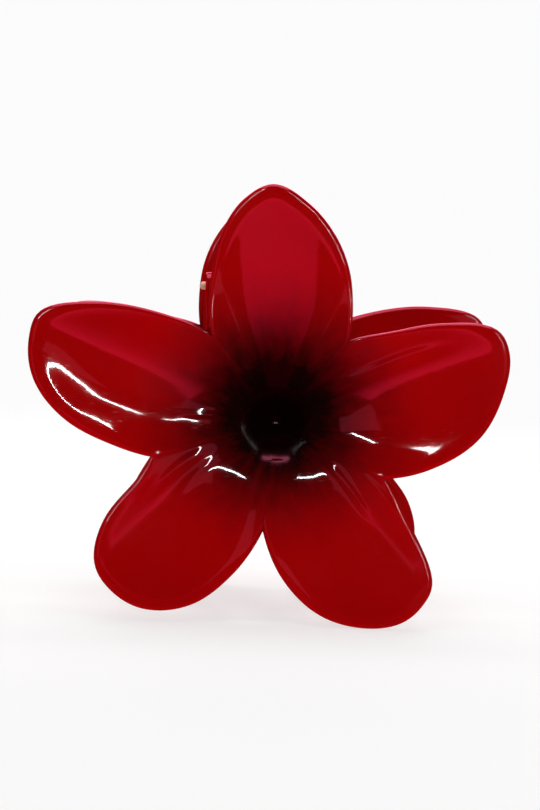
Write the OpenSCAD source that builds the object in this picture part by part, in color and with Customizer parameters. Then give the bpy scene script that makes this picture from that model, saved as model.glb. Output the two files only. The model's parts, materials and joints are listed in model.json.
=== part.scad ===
// Flower hair clip: two identical five-petal mouldings back to back on one
// hinge pin, with a torsion spring between the upper petals and six
// interlocking teeth behind the lower petals of each half.
//
// Frame: +Z up as worn, the front flower faces -Y, the hinge pin runs along X,
// the origin is on the floor midway between the two flowers. The rear half is
// the front half turned 180 degrees about Z. All sizes are in millimetres.

/* [Flower] */
// Height of the flower's centre above the lowest petal tip
flower_z = 33.24; // [33.24:0.1:38]
// Sideways offset of the flower's centre from the middle of the pin
flower_x = 1.5; // [0:0.1:2]
// Distance from the hinge plane to the front face at the throat
throat_y = 10; // [9:0.5:12]
// Wall thickness of the moulded shell
shell_t = 1.8; // [1.2:0.1:2.2]
// Depth of the trumpet-shaped funnel in the middle
funnel_depth = 9; // [8:0.5:11]
// Radius over which the funnel opens out
funnel_r = 6.3; // [5.5:0.1:8]
// Rise of the petals towards the viewer, per mm of radius
petal_slope = 0.05; // [0:0.01:0.12]
// Height of the hollow of each petal
cup_h = 3.2; // [0:0.1:4]
// Forward curl of the left petal's lower side
left_curl = 1.7; // [0:0.1:2]
// Forward curl of the right petal's lower side
right_curl = 1; // [0:0.1:2]
// Backward roll of the petals' rims
rim_roll = 0.5; // [0:0.1:1]

/* [Hinge] */
// Height of the pin above the flower's centre
pin_rise = 22.7; // [21.5:0.1:23.5]
// Diameter of the hinge pin
pin_d = 1.4; // [1.2:0.1:1.8]
// Length that the pin stands out of each outer lug, its round end included
pin_proud = 1.1; // [0.8:0.1:1.5]
// Radial running clearance of the pin in the rear lugs
pin_gap = 0.05; // [0.03:0.01:0.1]
// Thickness of each lug
lug_t = 2; // [1.6:0.1:2]
// Radius of the round eye at the end of each lug
eye_r = 2.4; // [2:0.1:2.8]
// Distance from the middle to the outer lug's outer face
lug_outer_x = 11.7; // [11.5:0.1:11.7]
// Distance from the middle to the inner lug's outer face
lug_inner_x = 9.2; // [9:0.1:9.4]

/* [Spring] */
// Diameter of the spring wire
wire_d = 0.9; // [0.7:0.1:1]
// Mean radius of the spring's coil
coil_r = 1.6; // [1.5:0.05:1.8]
// Full turns of the coil
coil_turns = 9; // [7:1:11]
// Height above the pin at which the legs bear on the handles
leg_rise = 5.5; // [5:0.5:7]
// Thickness of the two ribs beside each leg's end
guide_t = 0.8; // [0.6:0.1:1]
// Height of those ribs over the middle of the wall
guide_h = 1.8; // [1.4:0.1:2.2]

/* [Teeth] */
// Number of teeth on each half
teeth = 6; // [4:1:6]
// Distance from tooth to tooth on one half
tooth_pitch = 8; // [8:0.1:8.4]
// Thickness of a tooth
tooth_t = 2.2; // [1.8:0.1:2.6]
// Depth of a tooth at its root
tooth_root = 5; // [4:0.5:6]
// Depth of a tooth near its tip
tooth_tip = 1.8; // [1.4:0.1:2.2]
// How far the tips reach past the hinge plane
tooth_reach = 5.5; // [3:0.5:6]

/* [Hidden] */

// Outline of the flower, petal by petal from notch to notch, counter-clockwise
// from the notch right of the top petal: [angle, radius] about the centre.
PETALS = [
    [[52, 19], [60, 24], [67, 28.8], [75, 33.5], [84, 37.8], [92.5, 40.5], [100, 38.5], [107, 34.3], [116, 27],
     [127, 19]],
    [[127, 19], [137, 27], [147, 36.5], [155, 43.5], [162, 43.8], [171, 41], [180, 35], [188, 27.5], [195, 21.5]],
    [[195, 21.5], [203, 25.3], [210, 32.5], [218, 37.7], [226, 39], [236, 37.8], [247, 33], [256, 26], [265, 18]],
    [[265, 18], [274, 25.5], [284, 32], [294, 36.3], [304, 39], [312, 38.7], [318, 36.5], [326, 28], [337, 20]],
    [[337, 20], [347, 26.7], [359, 34], [371, 38.5], [380, 40.8], [387, 39.8], [394, 33], [402, 25], [412, 19]]
];
STEPS = 20;                                              // samples along each petal's outline
RINGS = [0.12, 0.25, 0.4, 0.55, 0.68, 0.79, 0.88, 0.95, 1];     // mesh rings, as a share of the radius
CURLS = [[0, 0], [0, left_curl], [0, 0], [0, 0], [right_curl, 0]];   // curl of each petal's two sides
CURL_W = 9.5;                                            // width of the curled border
CURL_END = 0.8;                                          // flat edge outside the curl
ROLL_W = 2.6;                                            // width of the rolled rim
DIPS = [[195, 0.3, 12], [265, 0.9, 16]];                 // shallower notches: angle, share, width
COLS = STEPS * len(PETALS);

pin_z = flower_z + pin_rise;
coil_x = coil_turns * (wire_d + 0.05) / 2;               // half the coil's length
coil_steps = 12 * coil_turns;
red = "crimson";
steel = "silver";

function smooth(t) = let (u = max(0, min(1, t))) u * u * (3 - 2 * u);

// Radius of a petal's outline at an angle, by a cubic through its points.
function slope_at(p, i) =
    i == 0 ? (p[1][1] - p[0][1]) / (p[1][0] - p[0][0]) :
    i == len(p) - 1 ? (p[i][1] - p[i - 1][1]) / (p[i][0] - p[i - 1][0]) :
    (p[i + 1][1] - p[i - 1][1]) / (p[i + 1][0] - p[i - 1][0]);
function span_of(p, a) = max([for (i = [0 : len(p) - 2]) if (a >= p[i][0] - 0.001) i]);
function radius_at(p, a) =
    let (i = span_of(p, a), w = p[i + 1][0] - p[i][0], t = (a - p[i][0]) / w)
    p[i][1] * (1 + 2 * t) * pow(1 - t, 2) + w * slope_at(p, i) * t * pow(1 - t, 2)
    + p[i + 1][1] * t * t * (3 - 2 * t) - w * slope_at(p, i + 1) * t * t * (1 - t);

function sample(k) =
    let (p = PETALS[floor(k / STEPS)], a = p[0][0] + (k % STEPS) / STEPS * (p[len(p) - 1][0] - p[0][0]))
    [a, radius_at(p, a)];
OUTLINE = [for (k = [0 : COLS - 1]) sample(k)];
RIM = [for (q = OUTLINE) q[1] * [cos(q[0]), sin(q[0])]];

// Distance from a point to the outline.
function beside(p, a, b) = let (d = b - a, t = max(0, min(1, (p - a) * d / (d * d)))) norm(p - a - t * d);
function rim_distance(p) = min([for (k = [0 : COLS - 1]) beside(p, RIM[k], RIM[(k + 1) % COLS])]);

// The number of the petal that an angle belongs to.
function wrap(a) = a < PETALS[0][0][0] ? a + 360 : a;
function petal_of(a) = [for (k = [0 : len(PETALS) - 1]) if (wrap(a) <= PETALS[k][len(PETALS[k]) - 1][0]) k][0];

// Height of the front face above the throat at the radius r, where s is that
// radius as a share of the outline's, away the distance to the rim and lift
// the curl of that place, and the wall's depth measured along Y. The hollow
// is shallower by the shallow() factor near two of the notches.
FLARE = 1.4;                                             // how roundly the funnel starts
function funnel(r) = exp(-pow(r / funnel_r, FLARE));
function lift(k, u) = CURLS[k][0] * smooth((0.4 - u) / 0.26) + CURLS[k][1] * smooth((u - 0.45) / 0.3);
function shallow(a, i = 0) =
    i == len(DIPS) ? 1 : (1 - DIPS[i][1] * exp(-pow((a - DIPS[i][0]) / DIPS[i][2], 2))) * shallow(a, i + 1);
function height(r, s, a, away, lift) =
    funnel_depth * (1 - funnel(r)) + petal_slope * r + cup_h * s * s * shallow(a)
    + lift * smooth((CURL_W - away) / (CURL_W - CURL_END))
    - rim_roll * pow(max(0, 1 - away / ROLL_W), 2) * smooth((r - 20) / 8);
function rise(r) = funnel_depth * funnel(r) * FLARE / funnel_r * pow(r / funnel_r, FLARE - 1) + petal_slope;
function wall_y(r) = shell_t * sqrt(1 + pow(rise(r), 2));

// Y of the middle of the wall behind the point [x, z], z measured from the centre.
function mid_y(x, z) =
    let (at = [x - flower_x, z], r = norm(at), a = wrap((atan2(at[1], at[0]) + 360) % 360), k = petal_of(a),
        p = PETALS[k], u = (a - p[0][0]) / (p[len(p) - 1][0] - p[0][0]))
    wall_y(r) / 2 - throat_y - height(r, r / radius_at(p, a), a, rim_distance(at), lift(k, u));

function face_point(s, k) =
    let (r = s * OUTLINE[k][1], away = rim_distance(s * RIM[k]), up = lift(floor(k / STEPS), k % STEPS / STEPS))
    [s * RIM[k][0], -throat_y - height(r, s, OUTLINE[k][0], away, up), s * RIM[k][1]];
FACE = [for (s = RINGS) for (k = [0 : COLS - 1]) face_point(s, k)];

function skin(front) = concat(
    [[0, -throat_y + (front ? 0 : wall_y(0)), 0]],
    [for (q = FACE) q + [0, front ? 0 : wall_y(norm([q[0], q[2]])), 0]]);

module flower() {
    rings = len(RINGS);
    back = 1 + rings * COLS;
    function at(ring, k) = 1 + ring * COLS + k % COLS;
    cap = [for (k = [0 : COLS - 1]) [0, at(0, k + 1), at(0, k)]];
    web = [for (i = [0 : rings - 2]) for (k = [0 : COLS - 1])
        for (t = [[at(i, k), at(i, k + 1), at(i + 1, k)], [at(i, k + 1), at(i + 1, k + 1), at(i + 1, k)]]) t];
    edge = [for (k = [0 : COLS - 1]) for (t = [[at(rings - 1, k), at(rings - 1, k + 1), back + at(rings - 1, k)],
        [at(rings - 1, k + 1), back + at(rings - 1, k + 1), back + at(rings - 1, k)]]) t];
    front_faces = concat(cap, web);
    translate([flower_x, 0, flower_z]) polyhedron(
        points = concat(skin(true), skin(false)),
        faces = concat(front_faces, [for (f = front_faces) [back + f[0], back + f[2], back + f[1]]], edge));
}

// One lug: a round eye on the pin, joined to the wall by a tapering web.
module lug(x_out, side, bore_r) {
    x_mid = side * (x_out - lug_t / 2);
    low = pin_rise - 9;
    high = pin_rise + 2;
    difference() {
        translate([x_mid - lug_t / 2, 0, pin_z]) rotate([90, 0, 90]) linear_extrude(lug_t)
            union() {
                circle(r = eye_r, $fn = 48);
                polygon(concat(
                    [[0.4 * eye_r, -0.92 * eye_r], [0.2 * eye_r, 0.98 * eye_r]],
                    [for (z = [high : -1.1 : low]) [mid_y(x_mid, z), z - pin_rise]]));
            }
        translate([x_mid - lug_t, 0, pin_z]) rotate([0, 90, 0]) cylinder(r = bore_r, h = 2 * lug_t, $fn = 48);
    }
}

// Two lugs, the outer one on the right, and the ribs for one spring leg.
module lugs(bore_r) {
    lug(lug_outer_x, 1, bore_r);
    lug(lug_inner_x, -1, bore_r);
    leg_guide();
}

// One tooth in the plane x: a tapering blade along a curve from the wall,
// across the hinge plane, to a rounded tip.
function tooth_x(i) = tooth_pitch * (i - (teeth - 1) / 2) - tooth_pitch / 4;
function root_z(x) = -9 - 7.5 * pow(x / 22, 2);
function tip_z(x) = -28 + 8 * exp(-pow(x / 7, 2)) + 1.5 * pow(x / 22, 4);
function bend(a, b, c, t) = a * pow(1 - t, 2) + 2 * b * t * (1 - t) + c * t * t;
function bend_dir(a, b, c, t) = let (d = (b - a) * (1 - t) + (c - b) * t) d / norm(d);
module tooth(x) {
    root = [mid_y(x, root_z(x)), root_z(x)];
    tip = [tooth_reach, tip_z(x)];
    turn = [-0.1 * tooth_reach, root_z(x) + 0.5];
    function side(t, s) =
        let (d = bend_dir(root, turn, tip, t), w = tooth_root + (tooth_tip - tooth_root) * t)
        bend(root, turn, tip, t) + s * w / 2 * [-d[1], d[0]];
    function foot(dz) = [mid_y(x, root_z(x) + dz), root_z(x) + dz];
    end_dir = bend_dir(root, turn, tip, 1);
    end_a = atan2(end_dir[1], end_dir[0]);
    translate([x - tooth_t / 2, 0, flower_z]) rotate([90, 0, 90]) linear_extrude(tooth_t)
        polygon(concat(
            [for (dz = [-0.5 : 0.2 : 0.5]) foot(dz * tooth_root)],
            [for (t = [0.2 : 0.1 : 0.91]) side(t, 1)],
            [for (a = [90 : -20 : -90]) tip + tooth_tip / 2 * [cos(end_a + a), sin(end_a + a)]],
            [for (t = [0.9 : -0.1 : 0.19]) side(t, -1)]));
}
module comb() {
    for (i = [0 : teeth - 1]) tooth(tooth_x(i));
}

// Two ribs on the handle's back that keep the spring leg's end in line.
module leg_guide() {
    z = pin_rise + leg_rise;
    for (side = [-1, 1]) {
        x = -coil_x + side * (wire_d / 2 + guide_t / 2 + 0.2);
        translate([x - guide_t / 2, 0, flower_z]) rotate([90, 0, 90]) linear_extrude(guide_t)
            polygon([[mid_y(x, z - 3.5), z - 3.5], [mid_y(x, z - 1.5) + guide_h, z - 2],
                [mid_y(x, z + 1.5) + guide_h, z + 1.5], [mid_y(x, z + 2.5), z + 2.5]]);
    }
}

// The wire's centre line: the front leg, the coil around the pin, the rear leg.
// Each leg leaves the coil as a tangent below the pin, so that squeezing the
// handles winds the coil tighter.
leg_y = mid_y(-coil_x, pin_rise + leg_rise) + wall_y(pin_rise + leg_rise) / 2 + wire_d / 2 + 0.15;
leg_start = atan2(leg_rise, leg_y) + acos(coil_r / norm([leg_y, leg_rise]));
leg_sweep = 360 * coil_turns + 540 - 2 * leg_start;
WIRE = concat(
    [[-coil_x, leg_y, leg_rise]],
    [for (k = [0 : coil_steps]) let (f = k / coil_steps, a = leg_start + f * leg_sweep)
        [coil_x * (2 * f - 1), coil_r * cos(a), coil_r * sin(a)]],
    [[coil_x, -leg_y, leg_rise]]);

// A round wire swept along a path that stays near planes across X.
module swept_wire(path, r, sides) {
    last = len(path) - 1;
    function along(i) = let (d = path[min(i + 1, last)] - path[max(i - 1, 0)]) d / norm(d);
    function ring(i) =
        let (t = along(i), u = cross(t, [1, 0, 0]), n = u / norm(u), b = cross(t, n))
        [for (k = [0 : sides - 1]) path[i] + r * (cos(360 * k / sides) * n + sin(360 * k / sides) * b)];
    polyhedron(
        points = [for (i = [0 : last]) each ring(i)],
        faces = concat(
            [[for (k = [0 : sides - 1]) k], [for (k = [sides - 1 : -1 : 0]) last * sides + k]],
            [for (i = [0 : last - 1]) for (k = [0 : sides - 1]) let (m = (k + 1) % sides)
                each [[i * sides + k, (i + 1) * sides + k, (i + 1) * sides + m],
                    [i * sides + k, (i + 1) * sides + m, i * sides + m]]]));
}

module front_flower() { color(red) flower(); }
module front_hinge_lugs() { color(red) lugs(pin_d / 2); }
module front_teeth() { color(red) comb(); }
module rear_flower() { color(red) rotate([0, 0, 180]) flower(); }
module rear_hinge_lugs() { color(red) rotate([0, 0, 180]) lugs(pin_d / 2 + pin_gap); }
module rear_teeth() { color(red) rotate([0, 0, 180]) comb(); }

module hinge_pin() {
    half = lug_outer_x + pin_proud - pin_d / 2;
    color(steel) translate([0, 0, pin_z]) rotate([0, 90, 0]) {
        cylinder(d = pin_d, h = 2 * half, center = true, $fn = 48);
        for (end = [-half, half]) translate([0, 0, end]) sphere(d = pin_d, $fn = 32);
    }
}

module torsion_spring() { color(steel) translate([0, 0, pin_z]) swept_wire(WIRE, wire_d / 2, 8); }

front_flower();
front_hinge_lugs();
front_teeth();
rear_flower();
rear_hinge_lugs();
rear_teeth();
hinge_pin();
torsion_spring();
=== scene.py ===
"""Looks of the flower hair clip: smooth petal shells, moulded lugs and teeth, wound spring, studio.

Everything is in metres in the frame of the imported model: +Z up, the front flower faces -Y.
Lengths named in the shape sections are in millimetres and become metres through MM.
"""

import json
import math

import bmesh
import bpy
import numpy as np
from mathutils import Matrix, Vector
from mathutils.geometry import tessellate_polygon


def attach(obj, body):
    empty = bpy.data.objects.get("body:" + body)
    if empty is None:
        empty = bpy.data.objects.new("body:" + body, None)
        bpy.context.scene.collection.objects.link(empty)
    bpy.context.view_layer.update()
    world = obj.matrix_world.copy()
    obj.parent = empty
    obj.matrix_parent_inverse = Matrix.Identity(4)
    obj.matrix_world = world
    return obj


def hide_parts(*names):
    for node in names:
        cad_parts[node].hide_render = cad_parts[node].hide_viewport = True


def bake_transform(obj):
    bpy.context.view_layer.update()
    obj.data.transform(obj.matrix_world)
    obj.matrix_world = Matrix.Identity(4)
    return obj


MM = 0.001
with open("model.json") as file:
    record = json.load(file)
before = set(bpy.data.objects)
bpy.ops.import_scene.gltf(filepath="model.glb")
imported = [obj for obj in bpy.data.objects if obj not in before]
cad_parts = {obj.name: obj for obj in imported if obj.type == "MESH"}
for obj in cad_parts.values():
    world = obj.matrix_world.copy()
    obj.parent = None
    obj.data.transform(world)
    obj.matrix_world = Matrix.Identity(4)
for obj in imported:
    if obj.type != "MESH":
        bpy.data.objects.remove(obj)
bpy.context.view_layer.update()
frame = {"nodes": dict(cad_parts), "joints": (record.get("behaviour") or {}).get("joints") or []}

# ---------------------------------------------------------------- driving dimensions, mm
PIN = Vector(frame["joints"][0]["pos_m"]) / MM
PIN_RISE = 22.7                       # pin above the flower's centre
CENTRE = np.array([1.5, PIN.z - PIN_RISE])   # x and z of the flower's centre
THROAT_Y = 10.0
SHELL_T = 1.8
EDGE_R = 0.85                         # half the thickness of the rounded rim
FUNNEL_DEPTH, FUNNEL_R, FLARE = 9.0, 6.3, 1.4
PETAL_SLOPE = 0.05
CUP_H = 3.2
ROLL_H, ROLL_W = 0.5, 2.6             # backward roll of the rim, and the width it takes
ROLL_FROM, ROLL_FULL = 20, 28         # radii between which the roll sets in
CURLS = [(0, 0), (0, 1.7), (0, 0), (0, 0), (1.0, 0)]   # forward curl of each petal's two sides
CURL_W, CURL_END = 9.5, 0.8           # distances from the rim where the curl starts and ends
FIRST_SIDE = (0.4, 0.26)              # where across a petal the first side's curl ends, and its fade
SECOND_SIDE = (0.45, 0.3)             # the same for the second side
DIPS = [(195, 0.3, 12), (265, 0.9, 16)]    # notches with a shallower hollow: angle, share, width
LAP_H, LAP_W = 0.7, 3.5               # step where one petal lies over the next
LAP_UNDER = 0.45                      # share of the step by which the lower petal goes down
LAP_ROUND, LAP_EDGE = 0.35, 0.4       # rounding of the step, and the width it takes
LAP_FROM, LAP_BLEND = 5, 12           # radius where laps set in, and the length they take
ACROSS = 64                           # columns of a petal
OUTLINE_STEPS = 240                   # samples along a petal's outline for distances to the rim
POLE_R = 0.4                          # radius of the innermost ring of points

# Outline of the flower, petal by petal from notch to notch: [angle in degrees, radius].
PETALS = [
    [[52, 19], [60, 24], [67, 28.8], [75, 33.5], [84, 37.8], [92.5, 40.5], [100, 38.5], [107, 34.3],
     [116, 27], [127, 19]],
    [[127, 19], [137, 27], [147, 36.5], [155, 43.5], [162, 43.8], [171, 41], [180, 35], [188, 27.5],
     [195, 21.5]],
    [[195, 21.5], [203, 25.3], [210, 32.5], [218, 37.7], [226, 39], [236, 37.8], [247, 33], [256, 26],
     [265, 18]],
    [[265, 18], [274, 25.5], [284, 32], [294, 36.3], [304, 39], [312, 38.7], [318, 36.5], [326, 28],
     [337, 20]],
    [[337, 20], [347, 26.7], [359, 34], [371, 38.5], [380, 40.8], [387, 39.8], [394, 33], [402, 25],
     [412, 19]],
]
# How each petal's two sides lie at its notches: 1 over the neighbour, -1 under it.
LAPS = [(1, 1), (-1, 1), (-1, -0.2), (0.3, -1), (1, -1)]
# Soft folds moulded into the petals: start angle and radius, end angle and radius, height, width.
FOLDS = [
    (36, 9, 26.5, 36, 0.45, 1.1),
    (171, 7, 176, 20, 0.2, 0.6),
    (335, 14, 321, 31, 0.4, 1.0),
    (327, 9, 316, 24, 0.2, 0.7),
    (199, 11, 212, 26, 0.18, 0.9),
    (206, 8, 219, 22, 0.1, 0.8),
]


# ---------------------------------------------------------------- petal surface
def smooth(t):
    u = np.clip(t, 0, 1)
    return u * u * (3 - 2 * u)


def radius_at(points, angles):
    """Radius of an outline at some angles, by a cubic through its points."""
    a, r = np.array(points, float).T
    ends = np.arange(len(a))
    before, after = np.maximum(ends - 1, 0), np.minimum(ends + 1, len(a) - 1)
    slope = (r[after] - r[before]) / (a[after] - a[before])
    i = np.clip(np.searchsorted(a, angles, side="right") - 1, 0, len(a) - 2)
    w = a[i + 1] - a[i]
    t = (angles - a[i]) / w
    return (r[i] * (1 + 2 * t) * (1 - t) ** 2 + w * slope[i] * t * (1 - t) ** 2
            + r[i + 1] * t * t * (3 - 2 * t) - w * slope[i + 1] * t * t * (1 - t))


def columns():
    """Angle, rim radius and rim direction factor of every column, and its petal and place in it."""
    rows = []
    for p, points in enumerate(PETALS):
        angles = np.linspace(points[0][0], points[-1][0], ACROSS + 1)
        rim = radius_at(points, angles)
        change = np.gradient(rim, np.radians(angles))
        lean = np.sqrt(1 + (change / rim) ** 2)
        for a, r, n, u in zip(np.radians(angles), rim, lean, np.linspace(0, 1, ACROSS + 1)):
            rows.append((a, r, n, p, u))
    return np.array(rows).T


def funnel(r):
    return np.exp(-((r / FUNNEL_R) ** FLARE))


def rise(r):
    return FUNNEL_DEPTH * funnel(r) * FLARE / FUNNEL_R * (r / FUNNEL_R) ** (FLARE - 1) + PETAL_SLOPE


def outline_segments():
    """Start points of the short straight pieces of the whole outline, and their vectors."""
    angles = [np.linspace(p[0][0], p[-1][0], OUTLINE_STEPS, endpoint=False) for p in PETALS]
    rim = np.concatenate([radius_at(p, a) for p, a in zip(PETALS, angles)])
    turn = np.radians(np.concatenate(angles))
    start = np.stack([rim * np.cos(turn), rim * np.sin(turn)], 1)
    return start, np.roll(start, -1, 0) - start


SEGMENTS = outline_segments()


def rim_distance(a, r):
    """Distance from points at some angles and radii to the flower's outline."""
    start, along = SEGMENTS
    off = np.stack([r * np.cos(a), r * np.sin(a)], -1)[:, None] - start
    t = np.clip((off * along).sum(-1) / (along ** 2).sum(-1), 0, 1)
    return np.sqrt(((off - t[..., None] * along) ** 2).sum(-1)).min(1)


def height(a, r, rim, petal, u):
    """How far the front face stands before the throat; u is the place from side to side of the petal."""
    away = rim_distance(a, r)
    roll = ROLL_H * np.clip(1 - away / ROLL_W, 0, None) ** 2
    roll = roll * smooth((r - ROLL_FROM) / (ROLL_FULL - ROLL_FROM))
    start, end = np.array(CURLS, float)[petal.astype(int)].T
    curl = start * smooth((FIRST_SIDE[0] - u) / FIRST_SIDE[1])
    curl = curl + end * smooth((u - SECOND_SIDE[0]) / SECOND_SIDE[1])
    curl = curl * smooth((CURL_W - away) / (CURL_W - CURL_END))
    cup = CUP_H * (r / rim) ** 2
    for angle, share, width in DIPS:
        cup = cup * (1 - share * np.exp(-(((np.degrees(a) - angle) / width) ** 2)))
    return FUNNEL_DEPTH * (1 - funnel(r)) + PETAL_SLOPE * r + cup + curl - roll


def fold_height(a, r):
    """Height of the folds: each rises over its first quarter and fades over its last two fifths."""
    total = 0
    for a0, r0, a1, r1, size, width in FOLDS:
        t = (r - r0) / (r1 - r0)
        middle = np.radians(a0 + (a1 - a0) * t)
        off = (np.mod(a - middle + np.pi, 2 * np.pi) - np.pi) * r
        total = total + size * np.exp(-((off / width) ** 2)) * smooth(t * 4) * smooth((1 - t) * 2.5)
    return total


def lap_height(r, petal, u):
    """Step at a petal's sides: the petal on top stands up towards its neighbour's edge."""
    spread = np.radians([p[-1][0] - p[0][0] for p in PETALS])[petal.astype(int)]
    start, end = np.array(LAPS, float)[petal.astype(int)].T
    total = 0
    for side, away in ((start, u), (end, 1 - u)):
        distance = away * spread * r
        size = np.where(side > 0, side * LAP_H, side * LAP_H * LAP_UNDER)
        rounding = 1 - LAP_ROUND * np.clip(1 - distance / LAP_EDGE, 0, 1) ** 2
        total = total + size * np.exp(-((distance / LAP_W) ** 2)) * rounding
    return total * smooth((r - LAP_FROM) / LAP_BLEND)


def wall(r):
    """Thickness of the shell along Y, so that it is SHELL_T thick square to its slope."""
    return SHELL_T * np.sqrt(1 + rise(r) ** 2)


def mid_y(x, z):
    """Y of the middle of the front wall behind a point, z measured from the flower's centre."""
    dx = x - CENTRE[0]
    r = math.hypot(dx, z)
    a = math.degrees(math.atan2(z, dx)) % 360
    a = a + 360 if a < PETALS[0][0][0] else a
    petal = next(k for k, p in enumerate(PETALS) if p[0][0] <= a <= p[-1][0])
    first, last = PETALS[petal][0][0], PETALS[petal][-1][0]
    rim = radius_at(PETALS[petal], np.array([a]))
    place = np.array([(a - first) / (last - first)])
    ahead = height(np.radians([a]), np.array([r]), rim, np.array([petal]), place)
    return float(wall(r) / 2 - THROAT_Y - ahead[0])


def flower_arrays():
    """Angles of the columns, and the shell's rings as radius and Y, from the front's centre to the back's."""
    a, rim, lean, petal, u = columns()
    inner = rim - EDGE_R * lean
    near, far = 0.3, 0.86             # shares of the radius where the rings' spacing changes
    shares = np.concatenate([np.linspace(0.0, near, 14)[:-1], np.linspace(near, far, 22)[:-1],
                             np.linspace(far, 1, 12)])
    front = [POLE_R + (inner - POLE_R) * s for s in shares]

    def face(r):
        return THROAT_Y + height(a, r, rim, petal, u) + fold_height(a, r) + lap_height(r, petal, u)

    def back(r):
        return THROAT_Y + height(a, r, rim, petal, u) + lap_height(r, petal, u) - wall(r)

    rings = [(r, -face(r)) for r in front]
    y0, y1 = -face(inner), -back(inner)
    step = 0.2
    lean_in = (-face(inner) + face(inner - step)) / step
    for turn in np.radians(np.linspace(-90, 90, 11)[1:-1]):
        r = inner + (rim - inner) * math.cos(turn)
        rings.append((r, (y0 + y1) / 2 + (y1 - y0) / 2 * math.sin(turn) + lean_in * (r - inner)))
    behind = [POLE_R + (inner - POLE_R) * s for s in shares[::-2]]
    rings += [(r, -back(r)) for r in behind]
    return a, rings


def mesh_object(name, points, faces):
    """A smooth-shaded object from points in mm, with doubled points joined and normals facing out."""
    mesh = bpy.data.meshes.new(name)
    mesh.from_pydata([tuple(float(c) * MM for c in p) for p in points], [], faces)
    bm = bmesh.new()
    bm.from_mesh(mesh)
    bmesh.ops.remove_doubles(bm, verts=bm.verts[:], dist=0.002 * MM)
    bmesh.ops.dissolve_degenerate(bm, edges=bm.edges[:], dist=0.0005 * MM)
    bmesh.ops.recalc_face_normals(bm, faces=bm.faces[:])
    bm.to_mesh(mesh)
    bm.free()
    mesh.validate()
    mesh.shade_smooth()
    mesh.set_sharp_from_angle(angle=math.radians(38))
    obj = bpy.data.objects.new(name, mesh)
    bpy.context.scene.collection.objects.link(obj)
    return obj


def turned(points):
    """The rear half is the front half turned half a turn about Z."""
    return [(-x, -y, z) for x, y, z in points]


def flower(name, rear):
    """The petal shell, with each vertex's radius and direction from the centre for its material."""
    a, rings = flower_arrays()
    count = len(a)
    points = []
    for r, y in rings:
        points += list(zip(CENTRE[0] + r * np.cos(a), y, CENTRE[1] + r * np.sin(a)))
    front_pole, back_pole = len(points), len(points) + 1
    points.append((CENTRE[0], -THROAT_Y, CENTRE[1]))
    points.append((CENTRE[0], -THROAT_Y + float(wall(0.0)), CENTRE[1]))
    faces = []
    for k in range(count):
        m = (k + 1) % count
        faces.append((front_pole, m, k))
        last = (len(rings) - 1) * count
        faces.append((back_pole, last + k, last + m))
        for i in range(len(rings) - 1):
            faces.append((i * count + k, i * count + m, (i + 1) * count + m, (i + 1) * count + k))
    obj = mesh_object(name, turned(points) if rear else points, faces)
    place = np.array([v.co for v in obj.data.vertices]) / MM
    across, up = (-1 if rear else 1) * place[:, 0] - CENTRE[0], place[:, 2] - CENTRE[1]
    radius = np.maximum(np.hypot(across, up), 0.001)
    polar = np.stack([radius, across / radius, up / radius], 1)
    obj.data.attributes.new("polar", "FLOAT_VECTOR", "POINT").data.foreach_set("vector", polar.ravel())
    return obj


# ---------------------------------------------------------------- lugs, spring guides, teeth
LUG_T, LUG_EDGE, EYE_R, BORE_R = 2.0, 0.35, 2.4, 0.75
WEB_TOP, WEB_BOTTOM = 2.0, 9.0        # ends of a lug's foot, above and below the pin's height
OUTER_X, INNER_X = 10.7, -8.2         # middle planes of the front half's two lugs
TEETH, TOOTH_PITCH, TOOTH_T = 6, 8.0, 2.2
TOOTH_ROOT, TOOTH_TIP, TOOTH_REACH = 5.0, 1.8, 5.5
WIRE_D, COIL_R, COIL_TURNS, LEG_RISE = 0.9, 1.6, 9, 5.5
COIL_X = COIL_TURNS * (WIRE_D + 0.05) / 2
GUIDE_T, GUIDE_H, GUIDE_EDGE, GUIDE_GAP = 0.8, 1.8, 0.25, 0.2
FILLET = 0.9


def in_order(bm):
    """A mesh's points and faces, in an order that is the same on every run."""
    verts = sorted(bm.verts, key=lambda v: [round(c, 4) for c in v.co])
    place = {v: i for i, v in enumerate(verts)}
    faces = []
    for f in bm.faces:
        loop = [place[v] for v in f.verts]
        first = loop.index(min(loop))
        faces.append(loop[first:] + loop[:first])
    return [[round(c, 5) for c in v.co] for v in verts], sorted(faces)


def plate(outline, hole, x_mid, thick, edge):
    """A flat part across X with rounded edges, from an outline in [y, z]; hole is [y, z, radius] or None."""
    bm = bmesh.new()
    loops = [outline]
    if hole:
        y, z, r = hole
        turns = np.linspace(0, 2 * math.pi, 33)[:-1]
        loops.append([(y + r * math.cos(t), z + r * math.sin(t)) for t in turns])
    edges = []
    for loop in loops:
        verts = [bm.verts.new((x_mid - thick / 2, y, z)) for y, z in loop]
        edges += [bm.edges.new((verts[i], verts[(i + 1) % len(verts)])) for i in range(len(verts))]
    bmesh.ops.triangle_fill(bm, use_beauty=True, edges=edges)
    grown = bmesh.ops.extrude_face_region(bm, geom=bm.faces[:])["geom"]
    far_side = [v for v in grown if isinstance(v, bmesh.types.BMVert)]
    bmesh.ops.translate(bm, vec=(thick, 0, 0), verts=far_side)
    bmesh.ops.recalc_face_normals(bm, faces=bm.faces[:])
    bmesh.ops.dissolve_limit(bm, angle_limit=0.0005, verts=bm.verts[:], edges=bm.edges[:])
    corners = [e for e in bm.edges if e.is_manifold and e.calc_face_angle() > math.radians(50)]
    bmesh.ops.bevel(bm, geom=corners, offset=edge, segments=3, profile=0.5, affect="EDGES",
                    clamp_overlap=True)
    points, faces = in_order(bm)
    bm.free()
    triangles = []
    for face in faces:
        if len(face) > 4:
            corners = [Vector(points[i]) for i in face]
            triangles += [[face[k] for k in t] for t in tessellate_polygon([corners])]
    return points, [face for face in faces if len(face) <= 4] + triangles


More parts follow.
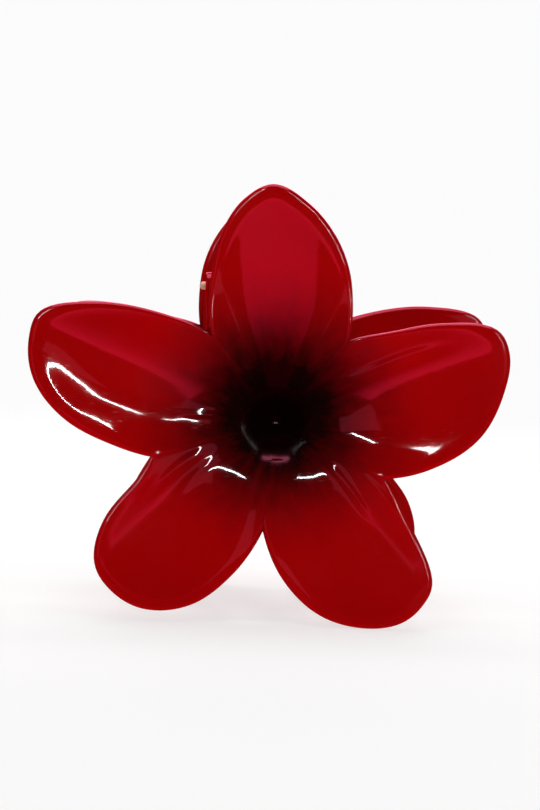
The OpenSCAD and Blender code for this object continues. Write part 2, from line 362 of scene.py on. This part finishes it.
def lug(x_mid):
    """One lug: a round eye on the pin and a tapering web down to the wall."""
    wall_z = np.arange(PIN_RISE + WEB_TOP, PIN_RISE - WEB_BOTTOM - 0.05, -1.1)
    outline = [(mid_y(x_mid, z), CENTRE[1] + z) for z in wall_z]
    eye = np.radians(np.linspace(-66, 78, 25))
    outline += [(EYE_R * math.cos(t), PIN.z + EYE_R * math.sin(t)) for t in eye]
    return plate(outline, (0, PIN.z, BORE_R), x_mid, LUG_T, LUG_EDGE)


def guide(x_mid):
    """A low rib on the handle's back, beside the spring leg's end."""
    z = PIN_RISE + LEG_RISE
    line = [(-3.5, 0), (-2, GUIDE_H), (1.5, GUIDE_H), (2.5, 0)]
    outline = [(mid_y(x_mid, z + dz) + dy, CENTRE[1] + z + dz) for dz, dy in line]
    return plate(outline, None, x_mid, GUIDE_T, GUIDE_EDGE)


def fillet(x_mid, thick, z_low, z_high, size):
    """Concave strips where a plate meets the wall's back, on both of its faces."""
    sunk = 0.3                        # how far a strip reaches into the plate and the wall
    parts = []
    for side in (-1, 1):
        points, faces = [], []
        heights = np.linspace(z_low, z_high, 16)
        bend = [(1 - math.sin(t), 1 - math.cos(t)) for t in np.radians(np.linspace(0, 90, 6))]
        for z in heights:
            row = [(thick / 2 - sunk, -sunk)] + [(thick / 2 + size * u, size * v) for u, v in bend]
            for off, up in row:
                x = x_mid + side * off
                back = mid_y(x, z) + float(wall(math.hypot(x - CENTRE[0], z))) / 2
                points.append((x, back + up - 0.02, CENTRE[1] + z))
        n = len(bend) + 1
        for i in range(len(heights) - 1):
            for k in range(n):
                quad = (i * n + k, i * n + (k + 1) % n, (i + 1) * n + (k + 1) % n, (i + 1) * n + k)
                faces.append(quad if side > 0 else quad[::-1])
        ends = [tuple(range(n)), tuple(range((len(heights) - 1) * n, len(heights) * n))]
        faces += [ends[0][::-1], ends[1]] if side > 0 else [ends[0], ends[1][::-1]]
        parts.append((points, faces))
    return parts


def merged(parts):
    points, faces = [], []
    for p, f in parts:
        faces += [tuple(i + len(points) for i in face) for face in f]
        points += p
    return points, faces


def hinge_lugs():
    parts = [lug(OUTER_X), lug(INNER_X)]
    for x in (OUTER_X, INNER_X):
        parts += fillet(x, LUG_T, PIN_RISE - 8.6, PIN_RISE + 1.7, FILLET)
    for side in (-1, 1):
        parts.append(guide(-COIL_X + side * (WIRE_D / 2 + GUIDE_T / 2 + GUIDE_GAP)))
    return merged(parts)


def root_z(x):
    """Height of a tooth's root from the flower's centre: the roots lie on an arch."""
    return -9 - 7.5 * (x / 22) ** 2


def tip_z(x):
    """Height of a tooth's tip: the middle teeth are shorter, so that the comb closes round the hair."""
    return -28 + 8 * math.exp(-((x / 7) ** 2)) + 1.5 * (x / 22) ** 4


def tooth(x):
    """A tapering blade with rounded edges, curving from the wall across the hinge plane to a round tip."""
    root = np.array([mid_y(x, root_z(x)), root_z(x)])
    tip = np.array([TOOTH_REACH, tip_z(x)])
    bend = np.array([-0.1 * TOOTH_REACH, root_z(x) + 0.5])
    rings, steps, sides = [], 40, 28
    foot, foot_fade = 0.8, 0.7        # widening of the root into the wall, and the length it takes
    length = np.linalg.norm(bend - root) + np.linalg.norm(tip - bend)
    for t in np.linspace(0, 1, steps):
        at = root * (1 - t) ** 2 + 2 * bend * t * (1 - t) + tip * t * t
        along = (bend - root) * (1 - t) + (tip - bend) * t
        flare = foot * math.exp(-max(0.0, t * length - 1.0) / foot_fade)
        wide = TOOTH_ROOT + (TOOTH_TIP - TOOTH_ROOT) * t
        thick = TOOTH_T * (1 - 0.25 * t)
        rings.append((at, along / np.linalg.norm(along), wide / 2 + flare, thick / 2 + flare))
    at, along, wide, thick = rings[-1]
    for t in np.radians([15, 30, 45, 60, 75]):
        rings.append((at + along * wide * math.sin(t), along, wide * math.cos(t), thick * math.cos(t)))
    points = []
    for i, (at, along, wide, thick) in enumerate(rings):
        for k in range(sides):
            c, s = math.cos(2 * math.pi * k / sides), math.sin(2 * math.pi * k / sides)
            dx = thick * math.copysign(abs(c) ** 0.5, c)
            du = wide * math.copysign(abs(s) ** 0.5, s)
            y, z = at[0] - along[1] * du, at[1] + along[0] * du
            if i == 0:
                y = mid_y(x + dx, z)
            points.append((x + dx, y, CENTRE[1] + z))
    end = rings[-1][0] + rings[-1][1] * 0.05
    points.append((x, end[0], CENTRE[1] + end[1]))
    n = sides
    faces = [tuple(range(n))]
    faces += [(i * n + k, (i + 1) * n + k, (i + 1) * n + (k + 1) % n, i * n + (k + 1) % n)
              for i in range(len(rings) - 1) for k in range(n)]
    last = (len(rings) - 1) * n
    faces += [(last + k, last + n, last + (k + 1) % n) for k in range(n)]
    return points, faces


def comb():
    """All teeth, a quarter pitch off the middle so that the turned rear comb falls between them."""
    return merged([tooth(TOOTH_PITCH * (i - (TEETH - 1) / 2) - TOOTH_PITCH / 4) for i in range(TEETH)])


# ---------------------------------------------------------------- spring
def spring_path():
    """Centre line of the wire relative to the pin: front leg, coil, rear leg."""
    z = PIN_RISE + LEG_RISE
    leg_y = mid_y(-COIL_X, z) + float(wall(z)) / 2 + WIRE_D / 2 + 0.15
    start = math.atan2(LEG_RISE, leg_y) + math.acos(COIL_R / math.hypot(leg_y, LEG_RISE))
    sweep = 2 * math.pi * COIL_TURNS + 3 * math.pi - 2 * start
    turns = np.linspace(0, 1, 36 * COIL_TURNS + 1)
    coil = [(COIL_X * (2 * f - 1), COIL_R * math.cos(start + f * sweep),
             COIL_R * math.sin(start + f * sweep)) for f in turns]
    first, last = np.array(coil[0]), np.array(coil[-1])
    ends = np.array([-COIL_X, leg_y, LEG_RISE]), np.array([COIL_X, -leg_y, LEG_RISE])
    leg = [ends[0] + (first - ends[0]) * t for t in np.linspace(0, 1, 12)[:-1]]
    tail = [last + (ends[1] - last) * t for t in np.linspace(0, 1, 12)[1:]]
    return np.array([*leg, *coil, *tail])


def spring_wire():
    """The round wire along its centre line, with slightly domed ends."""
    path = spring_path()
    sides = 14
    tangents = np.gradient(path, axis=0)
    tangents /= np.linalg.norm(tangents, axis=1)[:, None]
    points = []
    for i, (p, t) in enumerate(zip(path, tangents)):
        u = np.cross(t, (1, 0, 0))
        u /= np.linalg.norm(u)
        b = np.cross(t, u)
        for k in range(sides):
            turn = 2 * math.pi * k / sides
            points.append(p + (0, 0, PIN.z) + WIRE_D / 2 * (math.cos(turn) * u + math.sin(turn) * b))
    poles = []
    for p, t in ((path[0], -tangents[0]), (path[-1], tangents[-1])):
        poles.append(len(points))
        points.append(p + (0, 0, PIN.z) + 0.12 * t)
    faces = []
    for i in range(len(path) - 1):
        for k in range(sides):
            m = (k + 1) % sides
            faces.append((i * sides + k, i * sides + m, (i + 1) * sides + m, (i + 1) * sides + k))
    last = (len(path) - 1) * sides
    for k in range(sides):
        m = (k + 1) % sides
        faces += [(poles[0], m, k), (poles[1], last + k, last + m)]
    return [tuple(p) for p in points], faces


# ---------------------------------------------------------------- materials
class Nodes:
    """Short way to add and join shader nodes of one material or world."""

    def __init__(self, block):
        block.use_nodes = True
        self.tree = block.node_tree

    def add(self, kind, values=None, **settings):
        node = self.tree.nodes.new(kind)
        for key, value in settings.items():
            setattr(node, key, value)
        for key, value in (values or {}).items():
            if isinstance(value, bpy.types.NodeSocket):
                self.tree.links.new(value, node.inputs[key])
            else:
                node.inputs[key].default_value = value
        return node

    def math(self, operation, a, b=0.0, clamp=False):
        return self.add("ShaderNodeMath", {0: a, 1: b}, operation=operation, use_clamp=clamp).outputs[0]

    def noise(self, vector, scale, detail=3.0, rough=0.5):
        return self.add("ShaderNodeTexNoise", {"Vector": vector, "Scale": scale, "Detail": detail,
                                               "Roughness": rough}).outputs["Fac"]

    def band(self, value, low, high, to_low=0.0, to_high=1.0):
        values = {"Value": value, "From Min": low, "From Max": high, "To Min": to_low, "To Max": to_high}
        return self.add("ShaderNodeMapRange", values, interpolation_type="SMOOTHSTEP").outputs["Result"]

    def ramp(self, value, stops):
        node = self.add("ShaderNodeValToRGB", {"Fac": value})
        elements = node.color_ramp.elements
        while len(elements) < len(stops):
            elements.new(0.5)
        for element, (place, colour) in zip(elements, stops):
            element.position = place
            element.color = (*colour, 1)
        return node.outputs["Color"]

    def mix(self, factor, a, b, blend="MIX"):
        node = self.add("ShaderNodeMix", {0: factor}, data_type="RGBA", blend_type=blend)
        for socket, value in ((6, a), (7, b)):
            if isinstance(value, bpy.types.NodeSocket):
                self.tree.links.new(value, node.inputs[socket])
            else:
                node.inputs[socket].default_value = (*value, 1)
        return node.outputs[2]


RED = (0.48, 0.0, 0.001)


def plastic(name, shaded):
    """Glossy, slightly translucent red plastic; the petals are shaded to black around the throat."""
    m = bpy.data.materials.new(name)
    n = Nodes(m)
    shader = n.tree.nodes["Principled BSDF"]
    place = n.add("ShaderNodeTexCoord").outputs["Object"]
    flow = n.noise(place, 60, 4)
    red = n.ramp(flow, [(0.3, tuple(c * 0.9 for c in RED)), (0.7, RED)])
    if shaded:
        polar = n.add("ShaderNodeSeparateXYZ", {0: n.add("ShaderNodeAttribute",
                                                         attribute_name="polar").outputs["Vector"]})
        radius, across, up = polar.outputs
        spread = n.math("MULTIPLY", radius, 0.03)
        streak_at = n.add("ShaderNodeCombineXYZ", {0: across, 1: up, 2: spread}).outputs[0]
        streaks = n.noise(streak_at, 7, 4, 0.6)
        cloud = n.noise(place, 130, 2)
        wander = n.math("ADD", n.math("MULTIPLY", streaks, 7.0), n.math("MULTIPLY", cloud, 2.0))
        lower = n.math("ADD", n.math("MULTIPLY", up, 2.6), 3.6)
        reach = n.math("SUBTRACT", n.math("ADD", radius, wander), lower)
        tone = n.band(reach, 4.0, 27)
        black = n.ramp(tone, [(0.0, (0.003, 0.0, 0.0)), (0.12, (0.012, 0.0, 0.0)),
                              (0.35, (0.10, 0.0, 0.001)), (0.65, (0.27, 0.0, 0.002)), (1.0, RED)])
        red = n.mix(n.band(radius, 24, 34), black, red)
    smudge = n.noise(place, 45, 5, 0.65)
    scratch_at = n.add("ShaderNodeMapping", {"Vector": place, "Scale": (1, 1, 6),
                                             "Rotation": (0.3, 0.4, 0.7)}).outputs[0]
    scratch = n.noise(scratch_at, 700, 2)
    rough = n.math("ADD", n.band(smudge, 0.45, 0.75, 0.05, 0.13), n.band(scratch, 0.62, 0.72, 0.0, 0.08))
    if shaded:
        rough = n.math("ADD", rough, n.band(radius, 10, 4.0, 0.0, 0.12))
    peel = n.noise(place, 900, 2)
    bump = n.add("ShaderNodeBump", {"Height": peel, "Strength": 0.025, "Distance": 0.0002}).outputs[0]
    n.tree.links.new(red, shader.inputs["Base Color"])
    n.tree.links.new(rough, shader.inputs["Roughness"])
    n.tree.links.new(bump, shader.inputs["Normal"])
    shader.inputs["IOR"].default_value = 1.5
    shader.inputs["Subsurface Weight"].default_value = 0.25
    shader.inputs["Subsurface Radius"].default_value = (1.0, 0.05, 0.05)
    shader.inputs["Subsurface Scale"].default_value = 0.0018
    return m


def steel(name, colour, streak, dull_painted_sheen=0.0):
    """Steel wire: fine lines along it and a few darker rubbed spots; the last setting at 1 makes it dull and
    mostly non-metallic, so that its base colour shows as painted reflected light instead of a steel shine.
    """
    m = bpy.data.materials.new(name)
    n = Nodes(m)
    shader = n.tree.nodes["Principled BSDF"]
    place = n.add("ShaderNodeTexCoord").outputs["Object"]
    lines_at = n.add("ShaderNodeMapping", {"Vector": place, "Scale": streak}).outputs[0]
    lines = n.noise(lines_at, 2500, 3)
    spots = n.noise(place, 500, 4)
    dark = tuple(c * (0.55 + 0.3 * dull_painted_sheen) for c in colour)
    blotch = n.math("ADD", n.math("MULTIPLY", lines, 0.5), n.math("MULTIPLY", spots, 0.5))
    rough = n.band(spots, 0.35, 0.7, 0.16 + 0.3 * dull_painted_sheen, 0.36 + 0.3 * dull_painted_sheen)
    bump = n.add("ShaderNodeBump", {"Height": lines, "Strength": 0.08, "Distance": 0.0001}).outputs[0]
    n.tree.links.new(n.ramp(blotch, [(0.3, dark), (0.6, colour)]), shader.inputs["Base Color"])
    n.tree.links.new(rough, shader.inputs["Roughness"])
    n.tree.links.new(bump, shader.inputs["Normal"])
    shader.inputs["Metallic"].default_value = 1.0 - 0.8 * dull_painted_sheen
    return m


def build():
    petals = plastic("petal_plastic", True)
    plain = plastic("plain_plastic", False)
    wire = steel("spring_wire_steel", (0.62, 0.62, 0.64), (1, 0.1, 0.1))
    # The pin's cream base colour is a painted warm reflection: the real pin is bright steel, and a dull,
    # mostly non-metallic finish makes this painted sheen show.
    pin = steel("pin_steel", (1.0, 0.74, 0.54), (0.1, 1, 1), 1.0)
    for half, rear in (("front", False), ("rear", True)):
        place = turned if rear else list
        shell = flower(half + "_petals", rear)
        points, faces = hinge_lugs()
        lugs = mesh_object(half + "_lugs", place(points), faces)
        points, faces = comb()
        teeth = mesh_object(half + "_comb", place(points), faces)
        for obj, node, material in ((shell, "_flower", petals), (lugs, "_hinge_lugs", plain),
                                    (teeth, "_teeth", plain)):
            obj.data.materials.append(material)
            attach(obj, half + "_half")
            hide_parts(half + node)
    spring = mesh_object("wound_spring", *spring_wire())
    spring.data.materials.append(wire)
    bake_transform(spring)
    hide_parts("torsion_spring")
    axle = frame["nodes"]["hinge_pin"]
    axle.data.materials.clear()
    axle.data.materials.append(pin)


# ---------------------------------------------------------------- camera, light, floor
def camera():
    """A long lens a little above the flower's middle, tilted slightly about its own axis."""
    distance, elevation, roll = 0.420, 0.075, 0.038
    target = Vector((0, 0, (CENTRE[1] + 0.7) * MM))
    back = Vector((0, -math.cos(elevation), math.sin(elevation)))
    up = Vector((0, math.sin(elevation), math.cos(elevation)))
    right = Vector((1, 0, 0)) * math.cos(roll) + up * math.sin(roll)
    top = up * math.cos(roll) - Vector((1, 0, 0)) * math.sin(roll)
    data = bpy.data.cameras.new("camera")
    data.sensor_fit = "HORIZONTAL"
    data.sensor_width = 36
    data.lens = 158.8
    data.shift_x, data.shift_y = 0.0043, 0.0148
    data.clip_start, data.clip_end = 0.01, 20
    cam = bpy.data.objects.new("camera", data)
    bpy.context.scene.collection.objects.link(cam)
    turn = Matrix((right, top, back)).transposed().to_4x4()
    cam.matrix_world = Matrix.Translation(target + back * distance) @ turn
    bpy.context.scene.camera = cam


def softbox(name, place, aim, size, radiance, colour=(1, 1, 1)):
    """A rectangular lamp of a given brightness, aimed at a point, unseen by the camera itself."""
    lamp = bpy.data.lights.new(name, "AREA")
    lamp.shape = "RECTANGLE"
    lamp.size, lamp.size_y = size
    lamp.energy = radiance * math.pi * size[0] * size[1]
    lamp.color = colour
    obj = bpy.data.objects.new(name, lamp)
    bpy.context.scene.collection.objects.link(obj)
    direction = Vector(aim) - Vector(place)
    obj.location = place
    obj.rotation_euler = direction.to_track_quat("-Z", "Y").to_euler()
    obj.visible_camera = False
    return obj


def strip(name, start, end, aim):
    """A long thin lamp from one point to another, facing a point, that only shows in glossy reflections."""
    along = Vector(end) - Vector(start)
    place = (Vector(start) + Vector(end)) / 2
    lamp = softbox(name, place, aim, (along.length, STRIP_W), STRIP_RADIANCE, (0.95, 0.98, 1.0))
    x = along.normalized()
    z = place - Vector(aim)
    z = (z - x * z.dot(x)).normalized()
    lamp.rotation_euler = Matrix((x, z.cross(x), z)).transposed().to_euler()
    lamp.visible_diffuse = False


def card(name, corners, radiance):
    """A flat reddish card that only shows in glossy reflections and is dimmer towards the object."""
    obj = mesh_object(name, corners, [(0, 1, 2, 3)])
    m = bpy.data.materials.new(name + "_glow")
    n = Nodes(m)
    n.tree.nodes.remove(n.tree.nodes["Principled BSDF"])
    place = n.add("ShaderNodeSeparateXYZ", {0: n.add("ShaderNodeTexCoord").outputs["Object"]}).outputs[1]
    fade = n.band(place, -0.08, -0.27, 0.05 * radiance, 1.1 * radiance)
    glow = n.add("ShaderNodeEmission", {"Color": (1, 0.03, 0.1, 1), "Strength": fade}).outputs[0]
    n.tree.links.new(glow, n.tree.nodes["Material Output"].inputs["Surface"])
    obj.data.materials.append(m)
    obj.visible_camera = obj.visible_diffuse = obj.visible_shadow = False


def around(azimuth, elevation, distance=2.0):
    """A point seen from the flower's middle in a direction: degrees right of the front, degrees up."""
    az, el = math.radians(azimuth), math.radians(elevation)
    return (distance * math.sin(az) * math.cos(el), -distance * math.cos(az) * math.cos(el) - 0.02,
            CENTRE[1] * MM + distance * math.sin(el))


BACKDROP = 0.97                       # brightness of the background as the camera sees it
AMBIENT = 0.25                        # brightness of the surroundings as the object sees them
AMBIENT_GLOSS = 0.05                  # share of it that shows in glossy reflections
FLOOR_GLOW, FLOOR_GREY = 0.62, 0.5
FLOOR_SIZE = 4.0
STRIP_W, STRIP_RADIANCE = 0.05, 60
SIDE_TINT, SHEEN_TINT = (1, 0.12, 0.2), (1, 0.2, 0.34)


def lamps():
    """A card under the flower, side boxes, lamp strings in front, soft boxes above and behind."""
    middle = (0, 0, CENTRE[1] * MM)
    card("low_card", [(-6, -16, 3), (8, -16, 3), (76, -260, 3), (-60, -260, 3)], 3.0)
    softbox("right_box", (0.22, -0.42, 0.05), middle, (0.2, 0.14), 0.9, SIDE_TINT)
    softbox("left_box", (-0.22, -0.42, 0.05), middle, (0.2, 0.14), 0.9, SIDE_TINT)
    strip("right_leds", around(29, 4), around(30, 28), middle)
    strip("right_leds_top", around(30, 28), around(25, 34), middle)
    strip("left_leds", around(-31, 14), around(-23, 42), middle)
    for name, place, size in (("top", (0, 0.05, 0.6), (0.5, 0.5)), ("back", (0, 0.6, 0.3), (0.6, 0.3))):
        softbox(name + "_box", place, middle, size, 2.3).visible_glossy = False
        nearer = Vector(place) * 0.95
        softbox(name + "_sheen", nearer, middle, size, 5.0, SHEEN_TINT).visible_diffuse = False


def surroundings():
    """White to the camera, dimmer to the object, and dimmer still in glossy reflections."""
    world = bpy.data.worlds.new("world")
    bpy.context.scene.world = world
    n = Nodes(world)
    background = n.tree.nodes["Background"]
    seen = n.add("ShaderNodeLightPath").outputs
    strength = n.math("ADD", AMBIENT, n.math("MULTIPLY", seen["Is Camera Ray"], BACKDROP - AMBIENT))
    hidden = AMBIENT * (1 - AMBIENT_GLOSS)
    strength = n.math("SUBTRACT", strength, n.math("MULTIPLY", seen["Is Glossy Ray"], hidden))
    n.tree.links.new(strength, background.inputs["Strength"])
    background.inputs["Color"].default_value = (1, 1, 1, 1)


def paper_floor():
    """Pale paper that takes a soft shadow near the object and runs into the background farther out."""
    size = FLOOR_SIZE / MM
    corners = [(-size, -size, 0), (size, -size, 0), (size, size, 0), (-size, size, 0)]
    floor = mesh_object("floor", corners, [(0, 1, 2, 3)])
    m = bpy.data.materials.new("floor_paper")
    n = Nodes(m)
    n.tree.nodes.remove(n.tree.nodes["Principled BSDF"])
    away = n.add("ShaderNodeVectorMath", {0: n.add("ShaderNodeTexCoord").outputs["Object"]},
                 operation="LENGTH").outputs["Value"]
    lit = n.add("ShaderNodeBsdfDiffuse", {"Color": (FLOOR_GREY, FLOOR_GREY, FLOOR_GREY, 1)}).outputs[0]
    glow = n.add("ShaderNodeEmission", {"Color": (1, 1, 1, 1), "Strength": FLOOR_GLOW}).outputs[0]
    near = n.add("ShaderNodeAddShader", {0: lit, 1: glow}).outputs[0]
    far = n.add("ShaderNodeEmission", {"Color": (1, 1, 1, 1), "Strength": BACKDROP}).outputs[0]
    blend = n.add("ShaderNodeMixShader", {0: n.band(away, 0.12, 0.5), 1: near, 2: far}).outputs[0]
    n.tree.links.new(blend, n.tree.nodes["Material Output"].inputs["Surface"])
    floor.data.materials.append(m)
    floor.visible_glossy = False


build()
camera()
lamps()
surroundings()
paper_floor()
bpy.context.scene.view_settings.view_transform = "Standard"
